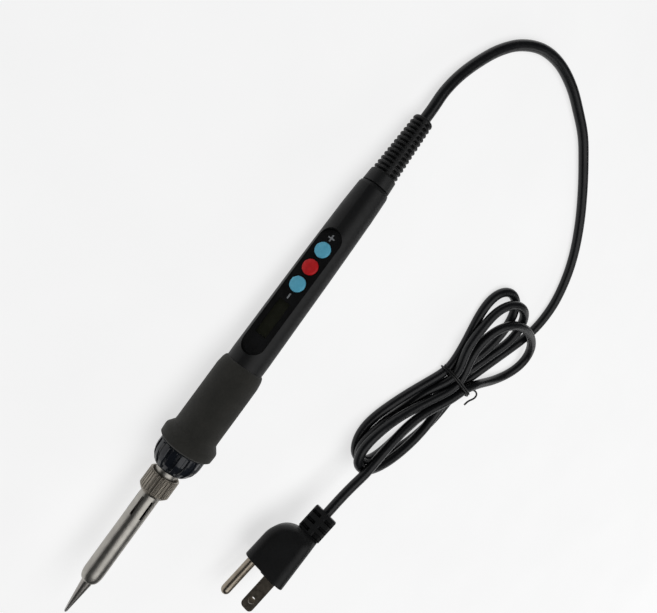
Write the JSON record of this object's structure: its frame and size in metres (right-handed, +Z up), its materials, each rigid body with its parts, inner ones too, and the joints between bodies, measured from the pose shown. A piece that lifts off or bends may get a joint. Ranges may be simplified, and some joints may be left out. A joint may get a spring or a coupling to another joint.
{
  "type": "soldering iron",
  "caption": "Temperature-controlled soldering iron with a conical tip, foam grip, display and push-buttons, and a mains lead tied in a hank that ends in an earthed plug.",
  "frame": {"origin": "bottom centre of the iron's own box, on the surface it lies on, without its cord and plug", "axes": "+X towards the point of the tip, +Y towards the side where the cord lies, +Z up"},
  "size_m": [0.3049, 0.1687, 0.0294],
  "materials": {
    "tip_plating": "iron-plated tip, satin cone, tinned point",
    "tube_steel": "polished stainless tube",
    "nut_nickel": "satin nickel plate",
    "spring_steel": "bright sheet steel",
    "heater_ceramic": "white alumina ceramic",
    "cap_plastic": "glossy moulded thermoset",
    "grip_foam": "matte foam rubber",
    "handle_plastic": "satin, finely textured",
    "panel_film": "glossy film",
    "display_clear": "clear plastic window",
    "display_glass": "dark reflective liquid-crystal glass",
    "key_blue": "satin",
    "key_red": "satin",
    "mark_grey": "printed",
    "board_laminate": "solder mask",
    "component_black": "moulded packages",
    "capacitor_yellow": "boxed film",
    "wire_white": "insulated wire",
    "wire_black": "insulated wire",
    "wire_green": "insulated wire",
    "cord_sheath": "satin flexible sheath",
    "relief_rubber": "matte flexible moulding",
    "tie_wire": "plastic-covered wire",
    "plug_rubber": "matte flexible moulding",
    "plug_bridge": "hard insert",
    "pin_nickel": "nickel-plated brass"
  },
  "bodies": {
    "iron": {"threaded_collar": "tube_steel", "heater_rod": "heater_ceramic", "heater_base": "heater_ceramic", "earth_ring": "spring_steel", "front_cap": "cap_plastic", "foam_grip": "grip_foam", "handle_shell": "handle_plastic", "control_panel": "panel_film", "display_window": "display_clear", "display_glass": "display_glass", "display_holder": "component_black", "key_marks": "mark_grey", "circuit_board": "board_laminate", "tact_switches": "component_black", "controller_chip": "component_black", "triac": "component_black", "capacitor": "capacitor_yellow", "heater_leads": "wire_white", "live_wire": "wire_black", "neutral_wire": "wire_white", "earth_wire": "wire_green", "cord_in_handle": "cord_sheath", "cord_ferrule": "spring_steel", "strain_relief": "relief_rubber", "cord_lead": "cord_sheath", "cord_hank": "cord_sheath", "cord_tail": "cord_sheath", "twist_tie": "tie_wire", "plug_body": "plug_rubber", "plug_bridge": "plug_bridge", "plug_blades": "pin_nickel", "ground_pin": "pin_nickel"},
    "tip_assembly": {"soldering_tip": "tip_plating", "tip_tube": "tube_steel"},
    "tube_nut": {"tube_nut": "nut_nickel"},
    "button_plus": {"button_plus": "key_blue"},
    "button_power": {"button_power": "key_red"},
    "button_minus": {"button_minus": "key_blue"}
  },
  "joints": [
    {"name": "tube_slide", "type": "slide", "parent": "iron", "child": "tip_assembly", "axis": [0.9992, 0, 0.0409], "range_m": [0, 0.055]},
    {"name": "nut_turn", "type": "hinge", "parent": "tip_assembly", "child": "tube_nut", "pos_m": [0.05793, 0, 0.01254], "axis": [0.9992, 0, 0.0409], "continuous": true},
    {"name": "plus_press", "type": "slide", "parent": "iron", "child": "button_plus", "axis": [0.0383, 0.8479, -0.5287], "range_m": [0, 0.0004], "stiffness_N_per_m": 1500},
    {"name": "power_press", "type": "slide", "parent": "iron", "child": "button_power", "axis": [0.0383, 0.8479, -0.5287], "range_m": [0, 0.0004], "stiffness_N_per_m": 1500},
    {"name": "minus_press", "type": "slide", "parent": "iron", "child": "button_minus", "axis": [0.0383, 0.8479, -0.5287], "range_m": [0, 0.0004], "stiffness_N_per_m": 1500}
  ]
}
